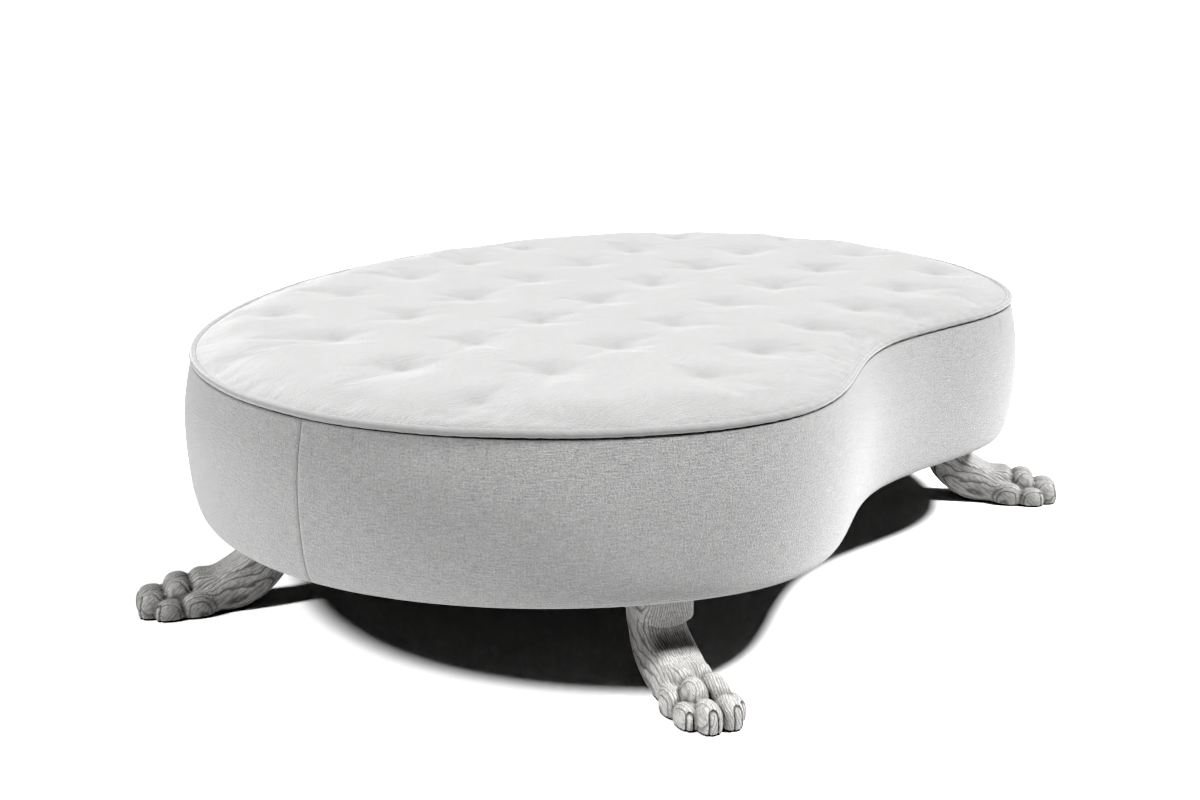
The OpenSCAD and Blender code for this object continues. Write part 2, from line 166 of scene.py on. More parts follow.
def ramp(tree, factor, *stops):
    node = addNode(tree, "ShaderNodeValToRGB", {0: factor})
    elements = node.color_ramp.elements
    while len(elements) < len(stops):
        elements.new(0.5)
    for element, (place, tone) in zip(elements, stops):
        element.position = place
        element.color = (tone, tone, tone, 1)
    return node.outputs[0]


def tint(tree, factor, a, b, blend="MIX"):
    node = addNode(tree, "ShaderNodeMix", data_type="RGBA", blend_type=blend)
    for socket, value in ((node.inputs[0], factor), (node.inputs[6], a), (node.inputs[7], b)):
        if isinstance(value, bpy.types.NodeSocket):
            tree.links.new(value, socket)
        else:
            socket.default_value = value if isinstance(value, float) else (*value, 1)
    return node.outputs[2]


def vectorCalc(tree, operation, a, sockets):
    return addNode(tree, "ShaderNodeVectorMath", {0: a, **sockets}, operation=operation)


def startMaterial(name, roughness, **sockets):
    material = bpy.data.materials.new(name)
    material.use_nodes = True
    tree = material.node_tree
    shader = tree.nodes["Principled BSDF"]
    shader.inputs["Roughness"].default_value = roughness
    for key, value in sockets.items():
        shader.inputs[key.replace("_", " ")].default_value = value
    return material, tree, shader


def finishMaterial(tree, shader, colour, height=None, depth=0.0005, strength=0.6):
    tree.links.new(colour, shader.inputs["Base Color"])
    if height is not None:
        bump = addNode(tree, "ShaderNodeBump", {"Height": height, "Strength": strength, "Distance": depth})
        tree.links.new(bump.outputs[0], shader.inputs["Normal"])


# ---- materials
velvetSet = {
    "swirl": 7.0, "push": 0.15,          # how the brushing wanders, and how far
    "broad": 8.0, "speck": 400.0,
    # threads to the metre both ways, detail, roughness, and turn in radians
    "streaks": ((22, 170, 1), 5.0, 0.62, 0.35), "hairs": ((85, 480, 1), 3.0, 0.6, 0.5),
    "wefts": ((60, 480, 1), 3.0, 0.6), "warps": ((520, 55, 1), 2.0, 0.6),
    "marks": ((75, 13, 1), 3.0, 0.6), "markStops": ((0.60, 0.0), (0.74, 1.0)),
    "markFade": 12.0, "markFadeStops": ((0.1, 0.0), (0.7, 1.0)),     # only near the top edge
    "low": 0.12, "paintedLightSlope": 0.7,         # painted light: paler towards the bottom and darker towards the top, as the light falls on the boxing
    # strength of the painted shade: under the piping, along the boxing seams and round the tufts, the last
    # partly pressed pile
    "shade_and_pressed_pile": 0.8,
}


def velvet(name, tone, brushed, slub, nap, sheen, relief, marks):
    # pile that was brushed different ways, over a slubby ground; the cloth lies flat in the UV map, in metres
    material, tree, shader = startMaterial(name, 0.9, Sheen_Weight=sheen, Sheen_Roughness=0.5,
                                           Specular_IOR_Level=0.06)
    how = velvetSet
    cloth = addNode(tree, "ShaderNodeUVMap", uv_map="cloth").outputs[0]
    swirl = addNode(tree, "ShaderNodeTexNoise", {"Vector": cloth, "Scale": how["swirl"], "Detail": 2.0})
    push = vectorCalc(tree, "SUBTRACT", swirl.outputs[1], {1: (0.5, 0.5, 0.5)}).outputs[0]
    push = vectorCalc(tree, "SCALE", push, {3: how["push"]}).outputs[0]
    bent = vectorCalc(tree, "ADD", cloth, {1: push}).outputs[0]
    broad = noise(tree, bent, how["broad"])
    streaks, hairs = fibres(tree, bent, *how["streaks"]), fibres(tree, bent, *how["hairs"])
    wefts, warps = fibres(tree, cloth, *how["wefts"]), fibres(tree, cloth, *how["warps"])
    speck = noise(tree, cloth, how["speck"], 3.0, 0.65)
    total = 1.0
    for socket, weight in ((broad, 0.14), (streaks, brushed), (hairs, brushed * 0.9), (wefts, slub),
                           (warps, slub * 0.7), (speck, nap)):
        total = plus(tree, total, times(tree, less(tree, socket, 0.5), weight))
    if marks:
        high = addNode(tree, "ShaderNodeSeparateXYZ", {0: cloth}).outputs[1]
        top = calc(tree, "ADD", times(tree, high, how["markFade"]), 1.0, True)
        crushed = times(tree, ramp(tree, fibres(tree, cloth, *how["marks"]), *how["markStops"]),
                        ramp(tree, top, *how["markFadeStops"]))
        total = less(tree, total, times(tree, crushed, marks))
        # painted light: boxing darker at the top, paler towards the bottom
        total = less(tree, total, times(tree, plus(tree, high, how["low"]), how["paintedLightSlope"]))
    # painted shade: darker under the piping, along the boxing seams and round the tufts (there partly pressed
    # pile)
    shade_and_pressed_pile = addNode(tree, "ShaderNodeAttribute", attribute_name="shade_and_pressed_pile").outputs["Fac"]
    total = times(tree, total, less(tree, 1.0, times(tree, shade_and_pressed_pile, how["shade_and_pressed_pile"])))
    height = 0.0
    for socket, weight in ((speck, nap * 1.6), (wefts, slub * 2), (streaks, brushed * 3),
                           (hairs, brushed * 1.5)):
        height = plus(tree, height, times(tree, socket, weight))
    finishMaterial(tree, shader, tint(tree, 1.0, tone, total, "MULTIPLY"), height, relief, 0.8)
    return material


oakSet = {
    "axis": (-0.074, 0.10, 0.0), "lean": (0.06, 0.927, 0.0),         # of the log, against the foot
    "wander": 13.0, "wanderBy": 0.016, "ring": 0.0033,
    "ringStops": ((0.0, 0.2), (0.08, 0.0), (0.62, 0.04), (0.83, 0.9), (0.92, 1.0), (1.0, 0.2)),
    "pores": ((700, 700, 48), 2.0, 0.7), "poreStops": ((0.42, 1.0), (0.56, 0.0)),
    "cloudy": 28.0, "wood": ((0.182, 0.179, 0.174), (0.288, 0.283, 0.276)),
    "fading": 34.0, "fadingStops": ((0.34, 0.7), (0.50, 1.0)),
    "lineTone": (0.030, 0.029, 0.028), "poreTone": (0.065, 0.063, 0.060), "carvedShadeTone": (0.012, 0.0115, 0.011),
}


def limedOak(name):
    # growth rings round an axis that leans like the leg, with pores along it; painted shade in the carved claw
    # lines and the creases between the toes
    material, tree, shader = startMaterial(name, 0.72, Specular_IOR_Level=0.3)
    how = oakSet
    place = addNode(tree, "ShaderNodeTexCoord").outputs["Object"]
    x, y, z = addNode(tree, "ShaderNodeSeparateXYZ", {0: place}).outputs
    # two planks of one log, glued down the middle
    halves = addNode(tree, "ShaderNodeCombineXYZ", {0: x, 1: calc(tree, "ABSOLUTE", y), 2: z}).outputs[0]
    leaning = addNode(tree, "ShaderNodeMapping", {"Vector": halves, "Location": how["axis"],
                                                  "Rotation": how["lean"]}).outputs[0]
    x, y, _ = addNode(tree, "ShaderNodeSeparateXYZ", {0: leaning}).outputs
    across = addNode(tree, "ShaderNodeCombineXYZ", {0: x, 1: y}).outputs[0]
    radius = vectorCalc(tree, "LENGTH", across, {}).outputs["Value"]
    wander = times(tree, noise(tree, leaning, how["wander"]), how["wanderBy"])
    rings = times(tree, plus(tree, radius, wander), 1 / how["ring"])
    dark = ramp(tree, calc(tree, "FRACT", rings), *how["ringStops"])
    pores = ramp(tree, fibres(tree, leaning, *how["pores"]), *how["poreStops"])
    wood = tint(tree, noise(tree, leaning, how["cloudy"]), *how["wood"])
    fading = ramp(tree, noise(tree, place, how["fading"], 2.0), *how["fadingStops"])
    wood = tint(tree, times(tree, times(tree, dark, 0.85), fading), wood, how["lineTone"])
    wood = tint(tree, times(tree, pores, 0.65), wood, how["poreTone"])
    # painted shade in the carved claw lines and the creases between the toes
    carved = addNode(tree, "ShaderNodeAttribute", attribute_name="carved").outputs["Fac"]
    wood = tint(tree, carved, wood, how["carvedShadeTone"])
    height = times(tree, plus(tree, dark, times(tree, pores, 0.7)), -1.0)
    finishMaterial(tree, shader, wood, height, 0.0006, 0.55)
    return material


def sawnWood(name, light, dark, pitch, along, roughness=0.7):
    # layers or rings across one direction, with fibres
    material, tree, shader = startMaterial(name, roughness)
    place = addNode(tree, "ShaderNodeTexCoord").outputs["Object"]
    layers = addNode(tree, "ShaderNodeSeparateXYZ", {0: place}).outputs[along]
    bent = times(tree, noise(tree, place, 6.0), 0.02)
    bands = calc(tree, "FRACT", times(tree, plus(tree, layers, bent), 1 / pitch))
    threads = fibres(tree, place, (30, 500, 500), 3.0, 0.6)
    share = plus(tree, times(tree, bands, 0.45), times(tree, threads, 0.5))
    finishMaterial(tree, shader, tint(tree, share, dark, light), threads, 0.0004, 0.4)
    return material


def speckled(name, light, dark, scale, roughness, depth=0.0006, **sockets):
    material, tree, shader = startMaterial(name, roughness, **sockets)
    place = addNode(tree, "ShaderNodeTexCoord").outputs["Object"]
    grain = noise(tree, place, scale, 4.0, 0.65)
    broad = noise(tree, place, scale / 30, 2.0)
    share = plus(tree, times(tree, grain, 0.7), times(tree, broad, 0.3))
    finishMaterial(tree, shader, tint(tree, share, dark, light), grain, depth, 0.5)
    return material


finishes = {
    # tone, brushed, slub, nap, sheen, relief, marks
    "cover_fabric": velvet("cover_fabric", (0.102, 0.102, 0.101), 0.38, 0.06, 1.10, 0.455, 0.0016, 0.0),
    "piping_fabric": velvet("piping_fabric", (0.103, 0.103, 0.102), 0.08, 0.16, 0.35, 0.35, 0.0015, 0.0),
    "boxing_fabric": velvet("boxing_fabric", (0.120, 0.120, 0.119), 0.14, 0.80, 1.45, 0.34, 0.0010, 0.24),
    "carved_oak": limedOak("carved_oak"),
    # light and dark tone, pitch of the layers, direction across them
    "plywood": sawnWood("plywood", (0.72, 0.58, 0.40), (0.50, 0.37, 0.23), 0.0015, 2),
    "hardwood": sawnWood("hardwood", (0.74, 0.60, 0.41), (0.55, 0.41, 0.26), 0.006, 1),
    # light and dark tone, specks to the metre, roughness
    "fibreboard": speckled("fibreboard", (0.52, 0.42, 0.30), (0.36, 0.28, 0.19), 600, 0.9),
    "foam": speckled("foam", (0.90, 0.86, 0.66), (0.78, 0.72, 0.50), 700, 0.95),
    "wadding_fibre": speckled("wadding_fibre", (0.95, 0.95, 0.94), (0.82, 0.82, 0.80), 350, 0.95),
    "cotton_cord": speckled("cotton_cord", (0.86, 0.83, 0.75), (0.66, 0.62, 0.54), 500, 0.9),
    "twine": speckled("twine", (0.85, 0.80, 0.68), (0.60, 0.54, 0.42), 900, 0.6),
    "fibre_washer": speckled("fibre_washer", (0.44, 0.31, 0.20), (0.30, 0.20, 0.13), 400, 0.6),
    "zinc_steel": speckled("zinc_steel", (0.72, 0.73, 0.75), (0.52, 0.53, 0.56), 260, 0.35, 0.0001,
                           Metallic=1.0),
    "dust_cloth": speckled("dust_cloth", (0.045, 0.045, 0.045), (0.02, 0.02, 0.02), 900, 0.9),
    # felt pads, darkened to near black so they also stand in for the contact shadow under the toes (painted
    # shade)
    "felt": speckled("felt", (0.014, 0.0135, 0.013), (0.004, 0.004, 0.004), 1400, 1.0),
}
for part in frame["record"]["subparts"]:
    slots = frame["nodes"][part["node"]].data.materials
    slots.clear()
    slots.append(finishes[part["material_slot"]])
print("materials made", len(finishes))


# ---- the plan: a closed smooth curve, waist first, round by the right end
plan = {
    "length": 1.490, "depth": 1.098, "middleY": -0.0242936,
    "net": [(0, -0.815), (0.393, -1.042), (0.67, -0.969), (0.953, -0.535),
            (1.043, 0.039), (0.842, 0.606), (0.481, 0.907), (0, 1.049)],
    "seam": 3.9,                         # where the two boxing panels meet, in spans of the net
}
body = {
    "underside": 0.140, "height": 0.235, "bulge": 0.017, "bulgeHeight": 0.125, "underRoll": 0.022,
    "piping": 0.011,
}
topZ = body["underside"] + body["height"]
net = np.array(plan["net"] + [(-x, y) for x, y in plan["net"][-2:0:-1]])


def curveAt(u):
    k = np.floor(u).astype(int)
    t = (u - k)[:, None]
    a, b, c, d = (net[(k + i) % len(net)] for i in (-1, 0, 1, 2))
    rest = (3 * t ** 3 - 6 * t ** 2 + 4) * b + (-3 * t ** 3 + 3 * t ** 2 + 3 * t + 1) * c
    return ((1 - t) ** 3 * a + rest + t ** 3 * d) / 6


coarse = curveAt(np.arange(0, len(net), 0.2))
lowY, highY = coarse[:, 1].min(), coarse[:, 1].max()
widest = coarse[:, 0].max()


def planAt(u):
    p = curveAt(u)
    return np.stack([p[:, 0] / widest * plan["length"] / 2,
                     ((p[:, 1] - lowY) / (highY - lowY) * 2 - 1) * plan["depth"] / 2 - plan["middleY"]], 1)


fineU = np.linspace(0, len(net), 5601)
finePlan = planAt(fineU)
fineRun = np.concatenate([[0], np.cumsum(np.linalg.norm(np.diff(finePlan, axis=0), axis=1))])
girth = fineRun[-1]
rightSeam, leftSeam = np.interp([plan["seam"], len(net) - plan["seam"]], fineU, fineRun)


def planRun(run):
    # points and outward directions at distances along the piping line
    u = np.interp(np.mod(run, girth), fineRun, fineU)
    ahead, behind = planAt(u + 0.01), planAt(u - 0.01)
    way = (ahead - behind) / np.linalg.norm(ahead - behind, axis=1)[:, None]
    return planAt(u), np.stack([way[:, 1], -way[:, 0]], 1)


def evenRing(count):
    run = np.arange(count) * girth / count
    return run, *planRun(run)


def swell(h):
    # how far the boxing stands out from the piping line at a height
    up = np.clip((body["height"] - h) / (body["height"] - body["bulgeHeight"]), 0, 1)
    low = np.sqrt(np.clip(1 - (1 - h / body["bulgeHeight"]) ** 2, 0, 1))
    return np.where(h >= body["bulgeHeight"], body["bulge"] * np.sin(np.pi / 2 * up),
                    body["bulge"] - body["underRoll"] * (1 - low))


def waver(run, lengths, seed):
    # a gentle unevenness that closes on itself round the piping line
    random = np.random.RandomState(seed)
    total = np.zeros_like(run)
    for length in lengths:
        turns = max(1, round(girth / length))
        total += np.sin(2 * np.pi * turns * run / girth + random.uniform(0, 6.3)) * random.uniform(0.6, 1.0)
    return total / len(lengths)


def hill(distance, reach):
    return np.exp(-(distance / reach) ** 2)


def newPiece(name, points, faces, slot, cloth=None, smooth=True):
    mesh = bpy.data.meshes.new(name)
    mesh.from_pydata([tuple(p) for p in points], [], [tuple(int(i) for i in f) for f in faces])
    if cloth is not None:
        layer = mesh.uv_layers.new(name="cloth")
        corners = np.empty(len(mesh.loops), int)
        mesh.loops.foreach_get("vertex_index", corners)
        layer.data.foreach_set("uv", np.asarray(cloth, float)[corners].ravel())
    if smooth:
        mesh.polygons.foreach_set("use_smooth", [True] * len(mesh.polygons))
    piece = bpy.data.objects.new(name, mesh)
    scene.collection.objects.link(piece)
    mesh.materials.append(finishes[slot])
    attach(piece, "root")
    return piece


def setShade(piece, name, values):
    piece.data.attributes.new(name, "FLOAT", "POINT").data.foreach_set("value", values)


def smoothOnce(piece):
    smoother = piece.modifiers.new("smooth", "SUBSURF")
    smoother.levels = smoother.render_levels = 1


def gridFaces(rows, cols, closed=False):
    # quads over a sheet of points, wound so that the outer side faces out
    faces = []
    for i in range(rows if closed else rows - 1):
        j = (i + 1) % rows
        faces += [(i * cols + k, j * cols + k, j * cols + k + 1, i * cols + k + 1) for k in range(cols - 1)]
    return faces


def insideRing(p, ring):
    a, b = ring, np.roll(ring, -1, axis=0)
    crossing = (a[None, :, 1] > p[:, None, 1]) != (b[None, :, 1] > p[:, None, 1])
    rise = b[None, :, 1] - a[None, :, 1] + 1e-12
    lean = (b[None, :, 0] - a[None, :, 0]) * (p[:, None, 1] - a[None, :, 1]) / rise
    return (crossing & (p[:, None, 0] < lean + a[None, :, 0])).sum(1) % 2 == 1


def gapTo(points, ring):
    # distance to the nearest point of a ring, and which one it is
    blocks = np.array_split(points, 1 + len(points) // 4000)
    spans = [np.linalg.norm(block[:, None] - ring[None], axis=2) for block in blocks]
    return np.concatenate([span.min(1) for span in spans]), np.concatenate([span.argmin(1) for span in spans])


def triangleSheet(ring, inner):
    rim = [(i, (i + 1) % len(ring)) for i in range(len(ring))]
    points = [Vector(p) for p in np.concatenate([ring, inner])]
    flat, _, faces, *_ = geometry.delaunay_2d_cdt(points, rim, [], 1, 1e-6)
    return np.array([tuple(v) for v in flat]), faces


# ---- padded top
topPad = {
    "crown": 0.015, "crownRun": 0.074,   # rise of the padding, and how soon it comes from the edge
    "puff": 0.0034, "puffWaves": (0.185, 0.15, 0.24), "puffPlace": 0.055, "puffReach": 0.035,
    "edgeTuck": 0.0055, "edgeTuckReach": 0.006,
    "tufts": [(-0.36267, -0.371, 6), (-0.17667, -0.626, 8), (0.00933, -0.541, 8), (0.19533, -0.456, 7),
              (0.38133, -0.371, 5)],     # row, first tuft, how many
    "pitch": 0.170,
    "tuftDepth": 0.0100, "tuftPull": (0.55, 1.0),
    "tuftReach": 0.036, "pitReach": 0.012, "creaseLong": 0.016, "creaseShort": 0.006,
    # painted shade round each tuft, partly pressed pile
    "shade": 0.27, "shadeReach": 0.022,
    "low": (-0.78, -0.6), "high": (0.78, 0.62), "step": 0.0105, "edge": 0.0035,
    "frames": 22, "pressure": 1.6, "slack": 0.005, "cap": 0.0025,
    "pinEdge": 0.0045, "pinTuft": 0.006, "pinRest": 0.02,
}
tufts = np.array([(x + i * topPad["pitch"], y) for y, x, n in topPad["tufts"] for i in range(n)])


def topHeight(p):
    count = 900
    gap, nearest = gapTo(p, planRun(np.linspace(0, girth, count, endpoint=False))[0])
    run = nearest * girth / count
    rise = topPad["crown"] * (1 - np.exp(-2 * (gap / topPad["crownRun"]) ** 2))
    puffed = topPad["puff"] * waver(run, topPad["puffWaves"], 21)
    rise = rise + puffed * hill(gap - topPad["puffPlace"], topPad["puffReach"])
    away = np.linalg.norm(p[:, None] - tufts[None], axis=2)
    near, which = away.min(1), away.argmin(1)
    pull = np.random.RandomState(5).uniform(*topPad["tuftPull"], len(tufts))[which] * topPad["tuftDepth"]
    x, y = (p - tufts[which]).T
    crease = hill(x * 0.9 + y * 0.45, topPad["creaseLong"]) * hill(x * 0.45 - y * 0.9, topPad["creaseShort"])
    dip = 0.72 * hill(near, topPad["tuftReach"]) + 0.16 * hill(near, topPad["pitReach"]) + 0.12 * crease
    tuck = topPad["edgeTuck"] * hill(gap, topPad["edgeTuckReach"])
    return topZ + rise - pull * dip - tuck, gap, near


def puff(piece, pinned, how):
    # cloth simulation of the cover: held at the tufts and the edge, pushed out by the padding
    held = piece.vertex_groups.new(name="held")
    for i, weight in enumerate(pinned):
        held.add([i], float(weight), "REPLACE")
    rest = np.array([v.co for v in piece.data.vertices])
    cloth = piece.modifiers.new("cloth", "CLOTH")
    fabric = cloth.settings
    fabric.quality = 5
    fabric.mass = 0.3
    fabric.tension_stiffness = fabric.compression_stiffness = 20
    fabric.shear_stiffness = 8
    fabric.bending_stiffness = 0.4
    fabric.use_pressure = True
    fabric.uniform_pressure_force = how["pressure"]
    fabric.shrink_min = -how["slack"]
    fabric.vertex_group_mass = "held"
    fabric.effector_weights.gravity = 0
    cloth.collision_settings.use_collision = False
    cloth.collision_settings.use_self_collision = False
    cloth.point_cache.frame_end = how["frames"]
    for step in range(1, how["frames"] + 1):
        scene.frame_set(step)
    shaped = piece.evaluated_get(bpy.context.evaluated_depsgraph_get()).to_mesh()
    moved = np.array([v.co for v in shaped.vertices]) - rest
    piece.modifiers.remove(cloth)
    scene.frame_set(1)
    size = np.linalg.norm(moved, axis=1)
    moved *= (np.minimum(size, how["cap"]) / np.maximum(size, 1e-9))[:, None]
    piece.data.vertices.foreach_set("co", (rest + moved).ravel())
    piece.vertex_groups.remove(held)
    print("  cloth moved", piece.name, round(float(size.mean()) * 1000, 1), "mm on average")


def makeTop():
    step = topPad["step"]
    _, ring, out = evenRing(int(girth / step))
    ring = ring - out * topPad["edge"]
    (lowX, low), (highX, high) = topPad["low"], topPad["high"]
    xs, ys = np.arange(lowX, highX, step), np.arange(low, high, step * 0.866)
    inner = np.array([(x + (j % 2) * step / 2, y) for j, y in enumerate(ys) for x in xs])
    inner = inner[insideRing(inner, ring)]
    inner = inner[gapTo(inner, ring)[0] > step * 0.62]
    for tuft in tufts:                   # one point of the cover lies exactly on each tuft
        inner[np.linalg.norm(inner - tuft, axis=1).argmin()] = tuft
    flat, faces = triangleSheet(ring, inner)
    height, gap, near = topHeight(flat)
    piece = newPiece("padded_top", np.column_stack([flat, height]), faces, "cover_fabric", flat)
    # painted shade in the tuft dimples, partly pressed pile
    setShade(piece, "shade_and_pressed_pile", topPad["shade"] * hill(near, topPad["shadeReach"]))
    pinned = (gap < topPad["pinEdge"]) | (near < topPad["pinTuft"])
    puff(piece, np.where(pinned, 1.0, topPad["pinRest"]), topPad)
    smoothOnce(piece)
    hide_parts("top_cover", "wadding")


makeTop()
print("padded top made")


# ---- piping
piping = {
    "step": 0.0035, "sides": 12,
    "gather": 0.00018, "gatherLength": 0.0042,
    "wave": 0.0007, "waves": (0.31, 0.17, 0.55),
    "fat": 0.05, "fatWaves": (0.021, 0.013, 0.034, 0.2),
    "bias": 0.7,                         # the strip is cut on the slant
}


def makePiping():
    run, centre, out = evenRing(int(girth / piping["step"]))
    radius, sides = body["piping"] / 2, piping["sides"]
    lift = waver(run, piping["waves"], 4) * piping["wave"]
    fat = 1 + waver(run, piping["fatWaves"], 7) * piping["fat"]
    points, cloth = [], []
    for i in range(len(run)):
        for k in range(sides + 1):
            a = 2 * math.pi * (k % sides) / sides + math.pi
            r = radius * fat[i] + piping["gather"] * math.sin(run[i] / piping["gatherLength"] + 2 * math.sin(a))
            flatOut = centre[i] + out[i] * r * math.cos(a)
            points.append((*flatOut, topZ - radius + lift[i] + r * math.sin(a)))
            slant = run[i] * piping["bias"]
            cloth.append((slant + k * 0.002, k * 0.0029 + slant))
    piece = newPiece("piping", points, gridFaces(len(run), sides + 1, True), "piping_fabric", cloth)
    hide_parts("welt_cover")


makePiping()
print("piping made")


# ---- boxing: two panels that meet at the ends
boxing = {
    "step": 0.0085,
    # drops below the top of the piping, the first two with how far they lie back under it
    "shoulder": [(-0.0045, 0.0106), (-0.0022, 0.0116)], "drops": [0.0130, 0.0150, 0.019],
    "side": (0.026, 0.014, 22),          # first drop, last height, how many
    "roll": [0.009, 0.005, 0.0025, 0.0012], "under": [0.004, 0.012, 0.03], "tuck": 0.055, "underHeight": 0.0013,
    "seamDepth": 0.0009, "seamWidth": 0.0026, "lip": 0.0008, "lipPlace": 0.006, "lipWidth": 0.0035,
    "gather": 0.0005, "gatherReach": 0.02, "gatherWaves": (0.031, 0.045, 0.026, 0.07),
    "drape": 0.0008, "drapeWaves": (0.27, 0.38, 0.19),
    "pucker": 0.0002, "seamPucker": 0.0006, "seamPuckerReach": 0.03, "puckerWaves": (0.017, 0.024, 0.04),
    "shades": (1.0, 0.8, 0.3, 0.0),      # painted shade under the piping, row by row down from it
    # painted shade in the crease where the two boxing panels meet
    "seamShade": 0.12, "seamShadeReach": 0.0012,
}


def boxingProfile():
    # out from under the piping, down over the swell, rolled under and in: offset and height
    high = body["height"]
    first, last, count = boxing["side"]
    side = [high - np.array(boxing["drops"]), np.linspace(high - first, last, count), boxing["roll"]]
    steps = [(back, high - drop) for back, drop in boxing["shoulder"]]
    steps += [(float(swell(h)), h) for h in np.concatenate(side)]
    edge = steps[-1][0]
    steps += [(edge - inward, boxing["underHeight"]) for inward in boxing["under"]]
    return np.array(steps + [(-boxing["tuck"], boxing["underHeight"])])


def makeBoxing(name, node, start, end):
    profile = boxingProfile()
    length = (end - start) % girth
    count = int(length / boxing["step"]) + 1
    inner = np.linspace(0.004, length - 0.004, count - 4)
    along = np.concatenate([[0.0004, 0.0015], inner, [length - 0.0015, length - 0.0004]])
    run = start + along
    centre, out = planRun(run)
    fromSeam = np.minimum(along, length - along)
    seam = boxing["lip"] * hill(fromSeam - boxing["lipPlace"], boxing["lipWidth"])
    seam = seam - boxing["seamDepth"] * hill(fromSeam, boxing["seamWidth"])
    down = np.concatenate([[0], np.cumsum(np.linalg.norm(np.diff(profile, axis=0), axis=1))])
    ripple = waver(run, boxing["gatherWaves"], 11) * boxing["gather"]
    drape = waver(run, boxing["drapeWaves"], 12)
    pucker = boxing["pucker"] + boxing["seamPucker"] * np.exp(-fromSeam / boxing["seamPuckerReach"])
    pucker = pucker * waver(run, boxing["puckerWaves"], 13)
    seamShade = boxing["seamShade"] * hill(fromSeam, boxing["seamShadeReach"])
    points, cloth, shade_and_pressed_pile = [], [], []
    for i in range(len(run)):
        for k, (offset, h) in enumerate(profile):
            below = body["height"] - 0.0115 - h
            mid = math.sin(math.pi * min(1, max(0, h / body["height"])))
            push = drape[i] * boxing["drape"] * mid + pucker[i] * hill(h - 0.012, 0.016)
            if below > 0 and h > 0.002:
                push += seam[i]
            if below > 0.002:
                push += ripple[i] * math.exp(-below / boxing["gatherReach"])
            points.append((*(centre[i] + out[i] * (offset + push)), body["underside"] + h))
            cloth.append((run[i], -down[k]))
            # painted shade: rows just under the piping, and along the seams
            shade = boxing["shades"][k] * (0.75 + 0.25 * drape[i]) if k < len(boxing["shades"]) else 0.0
            shade_and_pressed_pile.append(max(shade, seamShade[i]))
    piece = newPiece(name, points, gridFaces(len(run), len(profile)), "boxing_fabric", cloth)
    setShade(piece, "shade_and_pressed_pile", shade_and_pressed_pile)
    smoothOnce(piece)
    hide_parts(node)


makeBoxing("boxing_front", "band_front", leftSeam, rightSeam + girth)
makeBoxing("boxing_back", "band_back", rightSeam, leftSeam)
print("boxing made")


# ---- carved paws, and the felt under them
paw = {
    "height": 0.140, "pad": 0.003, "step": 0.0014,
    "low": (-0.048, -0.062, -0.001), "high": (0.195, 0.062, 0.146),
    # height, back, front, half width at the back and at the front
    "levels": [(0.003, 0.026, 0.124, 0.029, 0.036), (0.008, 0.017, 0.126, 0.033, 0.038),
               (0.016, 0.005, 0.124, 0.036, 0.039), (0.028, -0.010, 0.116, 0.038, 0.038),
               (0.042, -0.023, 0.100, 0.038, 0.036), (0.055, -0.030, 0.082, 0.037, 0.034),
               (0.067, -0.034, 0.058, 0.036, 0.034), (0.078, -0.037, 0.041, 0.036, 0.033),
               (0.090, -0.039, 0.032, 0.036, 0.033), (0.105, -0.040, 0.030, 0.037, 0.034),
               (0.116, -0.040, 0.030, 0.039, 0.036), (0.141, -0.040, 0.036, 0.040, 0.039)],
    "legRound": 3.2, "blockRound": 5.0,  # the higher, the squarer
    "block": (0.088, -0.040, 0.041, 0.0395),     # bottom, back, front, half width of the square top
    "blockSlope": 0.05, "blockArch": 0.011,
    # bumps of the toes on one side: centre and radii
    "bumps": [((0.1665, 0.0150, 0.0130), (0.0230, 0.0160, 0.0265)),
              ((0.1290, 0.0145, 0.0260), (0.0220, 0.0160, 0.0285)),
              ((0.0945, 0.0135, 0.0340), (0.0205, 0.0145, 0.0240)),
              ((0.1450, 0.0335, 0.0090), (0.0220, 0.0140, 0.0215)),
              ((0.1075, 0.0335, 0.0110), (0.0230, 0.0140, 0.0255))],
    "fullness": 2.35,
    "blockJoin": 0.0012, "toeJoin": 0.0028, "legJoin": 0.010,
    # claws: toe's bump, half width, height over the floor, and depth of the line round it
    "claws": [(0, 0.0056, 0.0335, 0.0017), (3, 0.0047, 0.0250, 0.0017)],
    "clawLine": 0.0011, "foldLine": 0.0028, "foldShade": 0.7,
    "places": {"front_left": (-0.49468, -0.36275, 237), "front_right": (0.45371, -0.40722, 291),
               "back_left": (-0.54534, 0.27134, 141), "back_right": (0.54534, 0.27134, 39)},
}
felt = {"low": (0.0, -0.062, -0.0016), "high": (0.195, 0.062, 0.0048), "step": 0.0016, "level": 0.0045,
        "inset": 0.0008}


def softMin(a, b, k):
    h = np.clip(0.5 + 0.5 * (b - a) / k, 0, 1)
    return b * (1 - h) + a * h - k * h * (1 - h)


levelTable = np.array(paw["levels"])
levelZ = np.arange(0.0, 0.145, 0.001)
kernel = hill(np.linspace(-2, 2, 13), 1)
levelFine = [np.convolve(np.pad(np.interp(levelZ, levelTable[:, 0], levelTable[:, c]), 6, mode="edge"),
                         kernel / kernel.sum(), "valid") for c in (1, 2, 3, 4)]


def section(x, y, back, front, rear, fore, power):
    # distance from a rounded oblong, seen from above
    half = (front - back) / 2
    u = (x - (back + front) / 2) / half
    wide = rear + (fore - rear) * np.clip((u + 1) / 2, 0, 1)
    r = (np.abs(u) ** power + np.abs(y / wide) ** power) ** (1 / power)
    return (r - 1) * np.minimum(half, wide)


def bumpDistance(p, centre, radii, side):
    q = np.abs((p - np.array([centre[0], side * centre[1], centre[2]])) / np.array(radii))
    return ((q ** paw["fullness"]).sum(1) ** (1 / paw["fullness"]) - 1) * min(radii)


